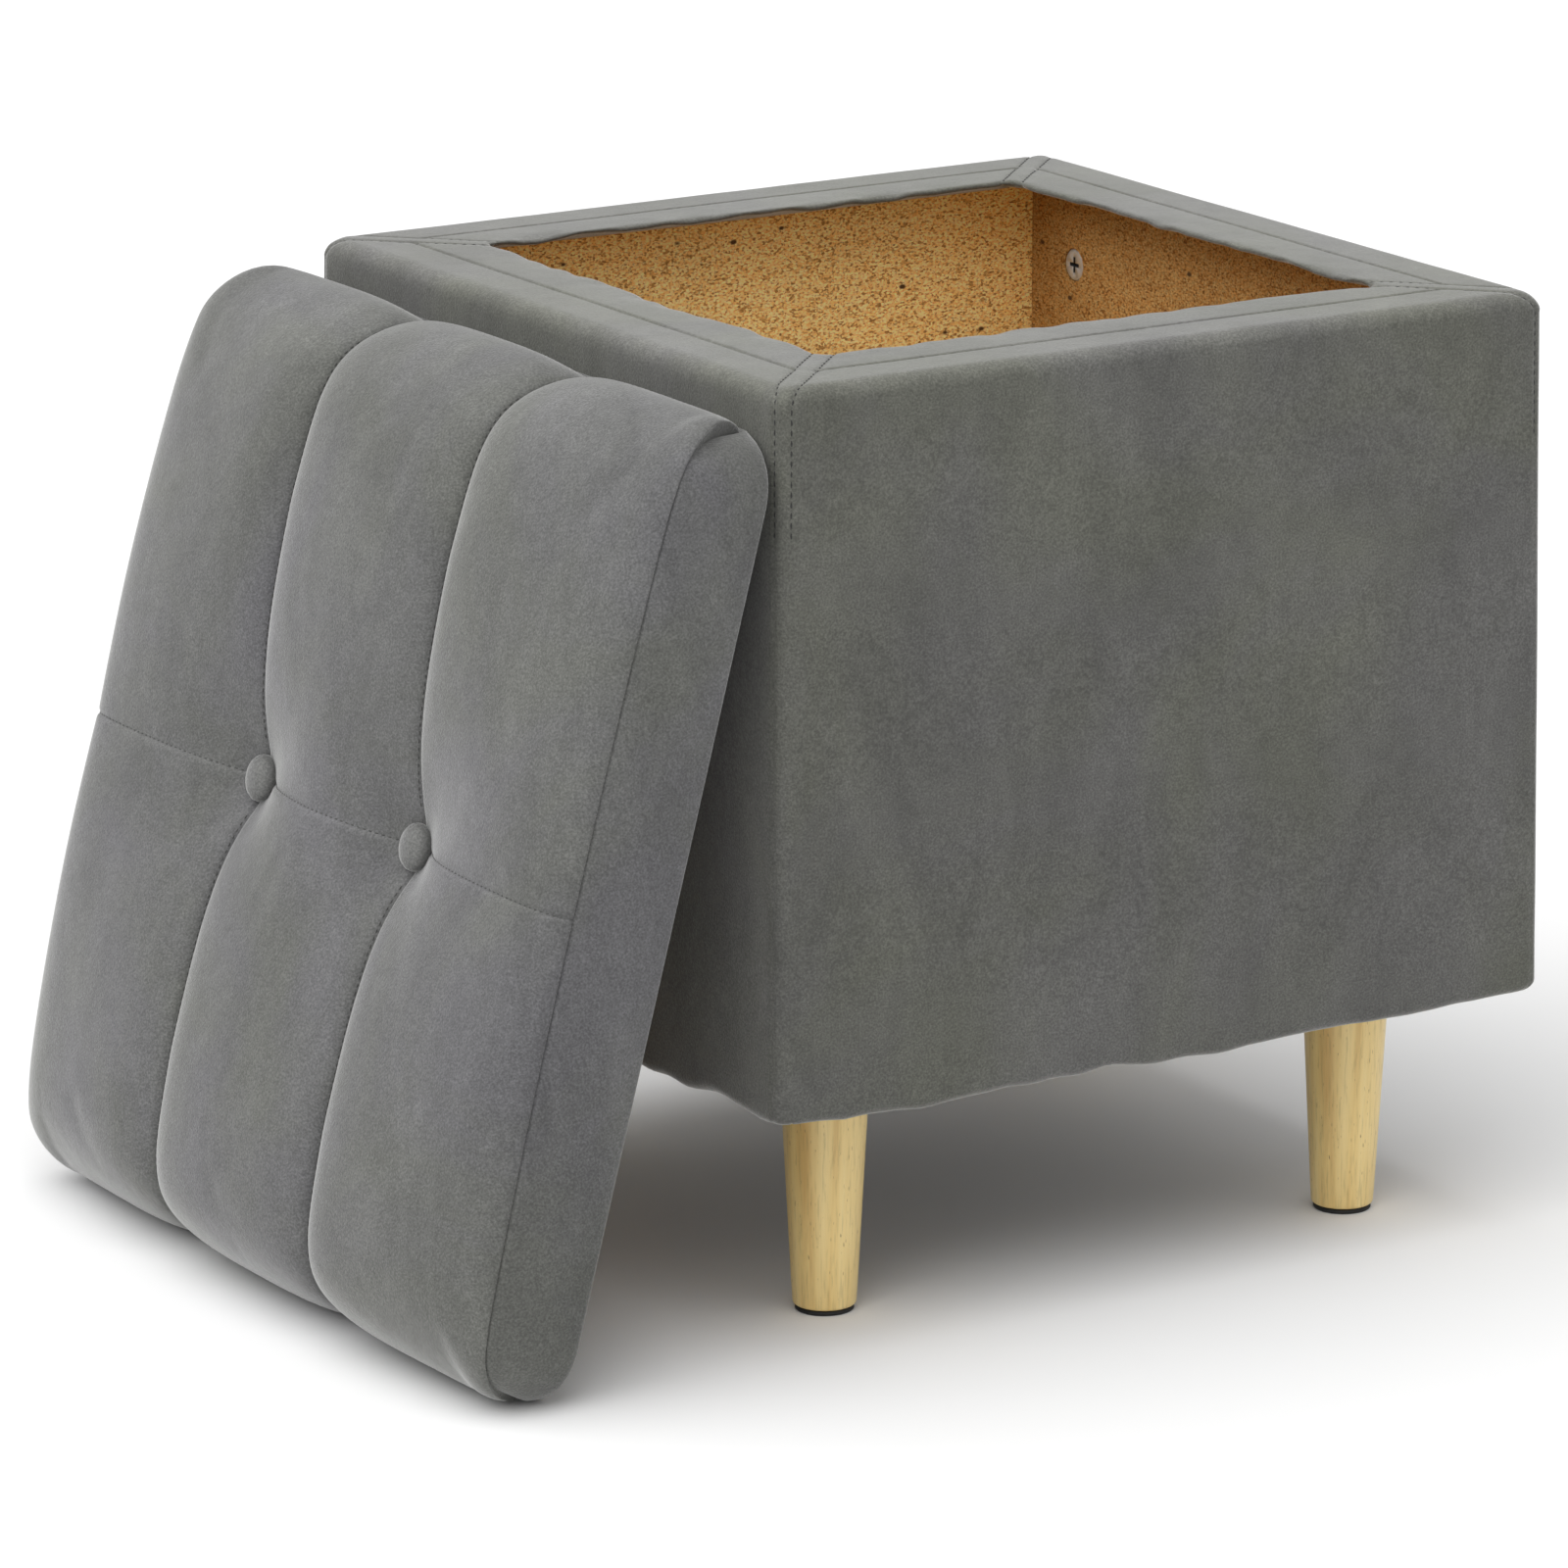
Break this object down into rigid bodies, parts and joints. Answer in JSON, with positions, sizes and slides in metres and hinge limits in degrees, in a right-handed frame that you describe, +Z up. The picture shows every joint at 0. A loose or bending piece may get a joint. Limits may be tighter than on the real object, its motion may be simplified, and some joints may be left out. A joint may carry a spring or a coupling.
{
  "type": "ottoman with storage",
  "caption": "Square upholstered storage ottoman on tapered round wooden legs, with an open top and a loose padded, button-tufted lid leaning against its side.",
  "frame": {"origin": "on the floor, under the middle of the bounding box of the box and the leaning lid together", "axes": "+Z up; -Y is the front of the box; the lid leans against the -X side, its padded face towards -X"},
  "size_m": [0.5462, 0.4, 0.409],
  "materials": {
    "velvet": "short-pile grey velvet",
    "foam": "open-cell upholstery foam",
    "chipboard": "raw chipboard",
    "hardboard": "smooth brown hardboard",
    "leg_wood": "clear-lacquered rubberwood",
    "lining": "black spun non-woven cloth",
    "glide": "matt black rubber",
    "steel": "zinc-plated"
  },
  "bodies": {
    "box": {"back_panel": "chipboard", "base_lining": "lining", "base_panel": "chipboard", "box_cover": "velvet", "cam_back_left_lower": "steel", "cam_back_left_upper": "steel", "cam_back_right_lower": "steel", "cam_back_right_upper": "steel", "cam_bolt_back_left_lower": "steel", "cam_bolt_back_left_upper": "steel", "cam_bolt_back_right_lower": "steel", "cam_bolt_back_right_upper": "steel", "cam_bolt_front_left_lower": "steel", "cam_bolt_front_right_lower": "steel", "cam_bolt_front_right_upper": "steel", "cam_front_left_lower": "steel", "cam_front_left_upper": "steel", "cam_front_right_lower": "steel", "cam_front_right_upper": "steel", "foam_back": "foam", "foam_front": "foam", "foam_left": "foam", "foam_right": "foam", "front_panel": "chipboard", "hanger_bolt_back_left": "steel", "hanger_bolt_back_right": "steel", "hanger_bolt_front_left": "steel", "hanger_bolt_front_right": "steel", "left_panel": "chipboard", "leg_back_left": "leg_wood", "leg_back_right": "leg_wood", "leg_front_left": "leg_wood", "leg_front_right": "leg_wood", "leg_glide_back_left": "glide", "leg_glide_back_right": "glide", "leg_glide_front_left": "glide", "leg_glide_front_right": "glide", "right_panel": "chipboard", "rim_rail_back": "hardboard", "rim_rail_front": "hardboard", "rim_rail_left": "hardboard", "rim_rail_right": "hardboard", "t_nut_back_left": "steel", "t_nut_back_right": "steel", "t_nut_front_left": "steel", "t_nut_front_right": "steel"},
    "lid_carrier": {"cam_bolt_front_left_upper": "steel"},
    "lid": {"lid_board": "chipboard", "lid_button_back": "velvet", "lid_button_front": "velvet", "lid_button_washer_back": "steel", "lid_button_washer_front": "steel", "lid_cover": "velvet", "lid_foam": "foam", "lid_lining": "lining", "lid_locating_board": "chipboard"}
  },
  "joints": [
    {"name": "lid_swing", "type": "hinge", "parent": "box", "child": "lid_carrier", "pos_m": [-0.09142, -0.157, 0.368], "axis": [0, 1, 0], "range_deg": [0, 235.56]},
    {"name": "lid_tilt", "type": "hinge", "parent": "lid_carrier", "child": "lid", "pos_m": [-0.1581, 0, 0.19721], "axis": [0, 1, 0], "range_deg": [-160.47, 0]}
  ],
  "couplings": [
    {"joint": "lid_tilt", "follows": "lid_swing", "ratio": -0.68118}
  ]
}
